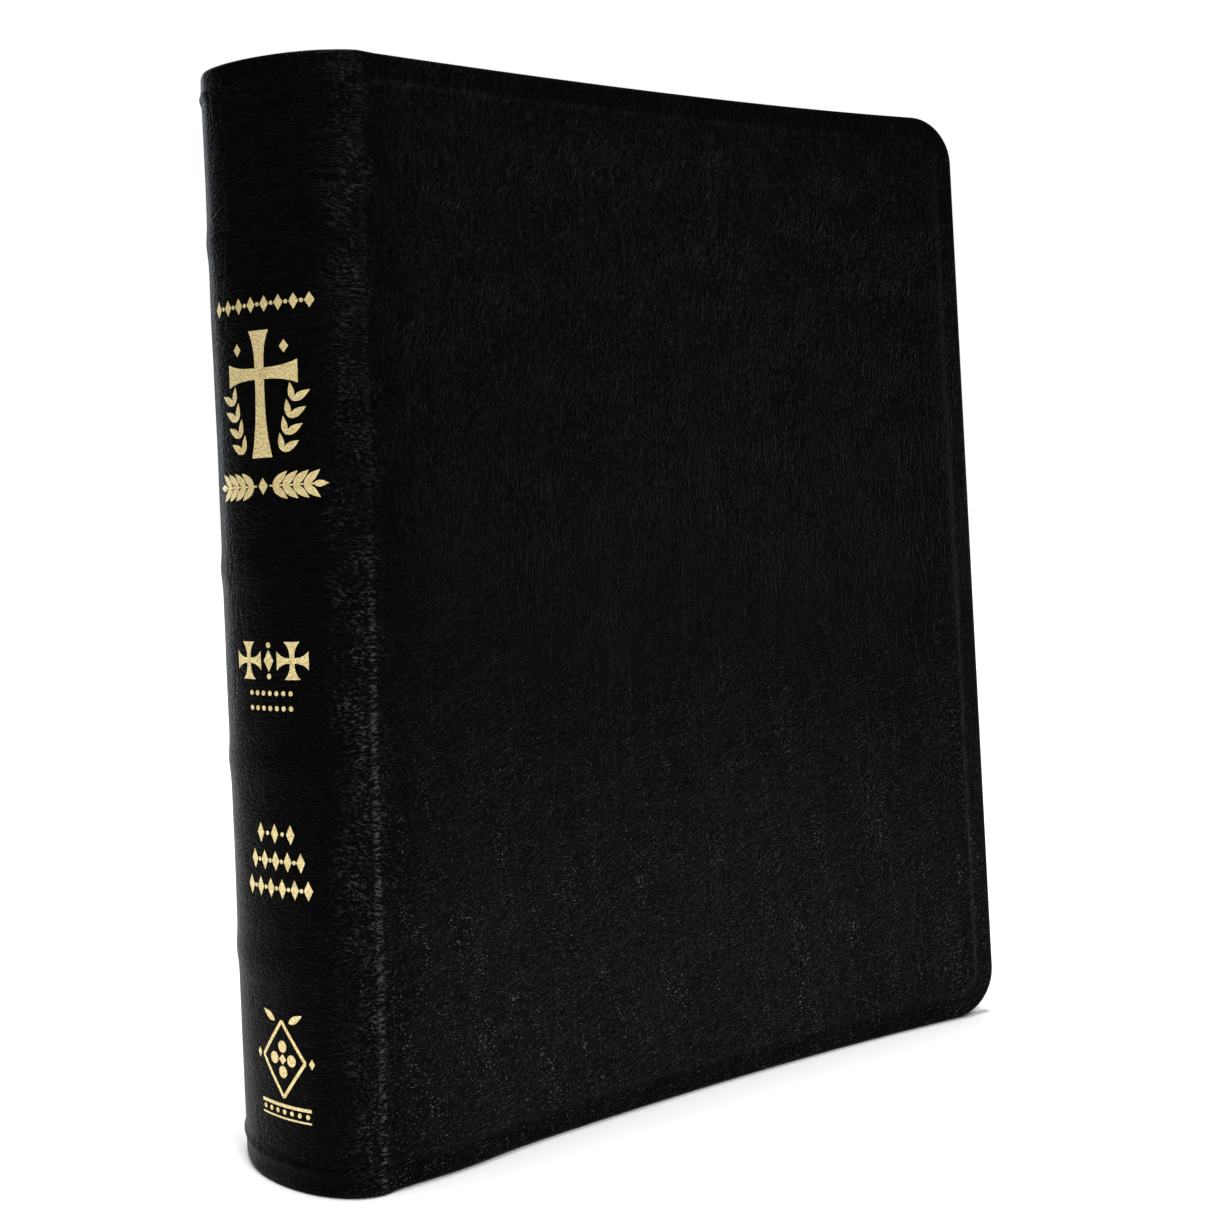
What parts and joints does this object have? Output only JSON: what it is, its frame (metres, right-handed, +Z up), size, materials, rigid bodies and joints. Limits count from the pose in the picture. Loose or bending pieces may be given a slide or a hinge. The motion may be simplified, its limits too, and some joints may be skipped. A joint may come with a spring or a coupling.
{
  "type": "bible",
  "caption": "Thick study Bible in a limp black leather case with a rounded, ribbed spine; both covers swing open and the pages fan out.",
  "frame": {"origin": "middle of the footprint, on the surface the book stands on", "axes": "+Z up from tail to head, +X from the spine to the fore-edge, -Y out of the front cover"},
  "size_m": [0.198, 0.057, 0.24],
  "materials": {
    "leather": "fine-grained black leather, soft satin sheen",
    "card": "matt grey card",
    "cloth": "open-weave starched cotton",
    "endpaper": "matt black laid endpaper",
    "paper": "thin ivory paper with gilt edges",
    "headband": "gold and black silk thread"
  },
  "bodies": {
    "spine": {"spine_leather": "leather", "spine_inlay": "card", "raised_band_1": "card", "raised_band_2": "card", "raised_band_3": "card", "raised_band_4": "card", "hollow_tube": "card", "mull_cloth": "cloth", "sewn_back": "paper", "head_band": "headband", "tail_band": "headband"},
    "front_cover": {"front_cover_leather": "leather", "front_board": "card", "front_pastedown": "endpaper"},
    "front_endleaf": {"front_flyleaf": "endpaper"},
    "front_leaves_1": {"front_section_1": "paper"},
    "front_leaves_2": {"front_section_2": "paper"},
    "front_leaves_3": {"front_section_3": "paper"},
    "front_leaves_4": {"front_section_4": "paper"},
    "front_leaves_5": {"front_section_5": "paper"},
    "front_leaves_6": {"front_section_6": "paper"},
    "front_leaves_7": {"front_section_7": "paper"},
    "front_leaves_8": {"front_section_8": "paper"},
    "back_cover": {"back_cover_leather": "leather", "back_board": "card", "back_pastedown": "endpaper"},
    "back_endleaf": {"back_flyleaf": "endpaper"},
    "back_leaves_1": {"back_section_1": "paper"},
    "back_leaves_2": {"back_section_2": "paper"},
    "back_leaves_3": {"back_section_3": "paper"},
    "back_leaves_4": {"back_section_4": "paper"},
    "back_leaves_5": {"back_section_5": "paper"},
    "back_leaves_6": {"back_section_6": "paper"},
    "back_leaves_7": {"back_section_7": "paper"},
    "back_leaves_8": {"back_section_8": "paper"}
  },
  "joints": [
    {"name": "front_cover_hinge", "type": "hinge", "parent": "spine", "child": "front_cover", "pos_m": [-0.077, -0.0285, 0], "axis": [0, 0, -1], "range_deg": [0, 175]},
    {"name": "front_flyleaf_turn", "type": "hinge", "parent": "spine", "child": "front_endleaf", "pos_m": [-0.0755, -0.0226, 0], "axis": [0, 0, -1], "range_deg": [0, 87.5]},
    {"name": "front_section_1_turn", "type": "hinge", "parent": "spine", "child": "front_leaves_1", "pos_m": [-0.0755, -0.02185, 0], "axis": [0, 0, -1], "range_deg": [0, 77.78]},
    {"name": "front_section_2_turn", "type": "hinge", "parent": "spine", "child": "front_leaves_2", "pos_m": [-0.0755, -0.0191, 0], "axis": [0, 0, -1], "range_deg": [0, 68.06]},
    {"name": "front_section_3_turn", "type": "hinge", "parent": "spine", "child": "front_leaves_3", "pos_m": [-0.0755, -0.01635, 0], "axis": [0, 0, -1], "range_deg": [0, 58.34]},
    {"name": "front_section_4_turn", "type": "hinge", "parent": "spine", "child": "front_leaves_4", "pos_m": [-0.0755, -0.0136, 0], "axis": [0, 0, -1], "range_deg": [0, 48.62]},
    {"name": "front_section_5_turn", "type": "hinge", "parent": "spine", "child": "front_leaves_5", "pos_m": [-0.0755, -0.01085, 0], "axis": [0, 0, -1], "range_deg": [0, 38.89]},
    {"name": "front_section_6_turn", "type": "hinge", "parent": "spine", "child": "front_leaves_6", "pos_m": [-0.0755, -0.0081, 0], "axis": [0, 0, -1], "range_deg": [0, 29.17]},
    {"name": "front_section_7_turn", "type": "hinge", "parent": "spine", "child": "front_leaves_7", "pos_m": [-0.0755, -0.00535, 0], "axis": [0, 0, -1], "range_deg": [0, 19.45]},
    {"name": "front_section_8_turn", "type": "hinge", "parent": "spine", "child": "front_leaves_8", "pos_m": [-0.0755, -0.0026, 0], "axis": [0, 0, -1], "range_deg": [0, 9.73]},
    {"name": "back_cover_hinge", "type": "hinge", "parent": "spine", "child": "back_cover", "pos_m": [-0.077, 0.0285, 0], "axis": [0, 0, 1], "range_deg": [0, 175]},
    {"name": "back_flyleaf_turn", "type": "hinge", "parent": "spine", "child": "back_endleaf", "pos_m": [-0.0755, 0.0226, 0], "axis": [0, 0, 1], "range_deg": [0, 87.5]},
    {"name": "back_section_1_turn", "type": "hinge", "parent": "spine", "child": "back_leaves_1", "pos_m": [-0.0755, 0.02185, 0], "axis": [0, 0, 1], "range_deg": [0, 77.78]},
    {"name": "back_section_2_turn", "type": "hinge", "parent": "spine", "child": "back_leaves_2", "pos_m": [-0.0755, 0.0191, 0], "axis": [0, 0, 1], "range_deg": [0, 68.06]},
    {"name": "back_section_3_turn", "type": "hinge", "parent": "spine", "child": "back_leaves_3", "pos_m": [-0.0755, 0.01635, 0], "axis": [0, 0, 1], "range_deg": [0, 58.34]},
    {"name": "back_section_4_turn", "type": "hinge", "parent": "spine", "child": "back_leaves_4", "pos_m": [-0.0755, 0.0136, 0], "axis": [0, 0, 1], "range_deg": [0, 48.62]},
    {"name": "back_section_5_turn", "type": "hinge", "parent": "spine", "child": "back_leaves_5", "pos_m": [-0.0755, 0.01085, 0], "axis": [0, 0, 1], "range_deg": [0, 38.89]},
    {"name": "back_section_6_turn", "type": "hinge", "parent": "spine", "child": "back_leaves_6", "pos_m": [-0.0755, 0.0081, 0], "axis": [0, 0, 1], "range_deg": [0, 29.17]},
    {"name": "back_section_7_turn", "type": "hinge", "parent": "spine", "child": "back_leaves_7", "pos_m": [-0.0755, 0.00535, 0], "axis": [0, 0, 1], "range_deg": [0, 19.45]},
    {"name": "back_section_8_turn", "type": "hinge", "parent": "spine", "child": "back_leaves_8", "pos_m": [-0.0755, 0.0026, 0], "axis": [0, 0, 1], "range_deg": [0, 9.73]}
  ],
  "couplings": [
    {"joint": "front_flyleaf_turn", "follows": "front_cover_hinge", "ratio": 0.5},
    {"joint": "front_section_1_turn", "follows": "front_cover_hinge", "ratio": 0.44444},
    {"joint": "front_section_2_turn", "follows": "front_cover_hinge", "ratio": 0.38889},
    {"joint": "front_section_3_turn", "follows": "front_cover_hinge", "ratio": 0.33333},
    {"joint": "front_section_4_turn", "follows": "front_cover_hinge", "ratio": 0.27778},
    {"joint": "front_section_5_turn", "follows": "front_cover_hinge", "ratio": 0.22222},
    {"joint": "front_section_6_turn", "follows": "front_cover_hinge", "ratio": 0.16667},
    {"joint": "front_section_7_turn", "follows": "front_cover_hinge", "ratio": 0.11111},
    {"joint": "front_section_8_turn", "follows": "front_cover_hinge", "ratio": 0.055555},
    {"joint": "back_flyleaf_turn", "follows": "back_cover_hinge", "ratio": 0.5},
    {"joint": "back_section_1_turn", "follows": "back_cover_hinge", "ratio": 0.44444},
    {"joint": "back_section_2_turn", "follows": "back_cover_hinge", "ratio": 0.38889},
    {"joint": "back_section_3_turn", "follows": "back_cover_hinge", "ratio": 0.33333},
    {"joint": "back_section_4_turn", "follows": "back_cover_hinge", "ratio": 0.27778},
    {"joint": "back_section_5_turn", "follows": "back_cover_hinge", "ratio": 0.22222},
    {"joint": "back_section_6_turn", "follows": "back_cover_hinge", "ratio": 0.16667},
    {"joint": "back_section_7_turn", "follows": "back_cover_hinge", "ratio": 0.11111},
    {"joint": "back_section_8_turn", "follows": "back_cover_hinge", "ratio": 0.055555}
  ]
}
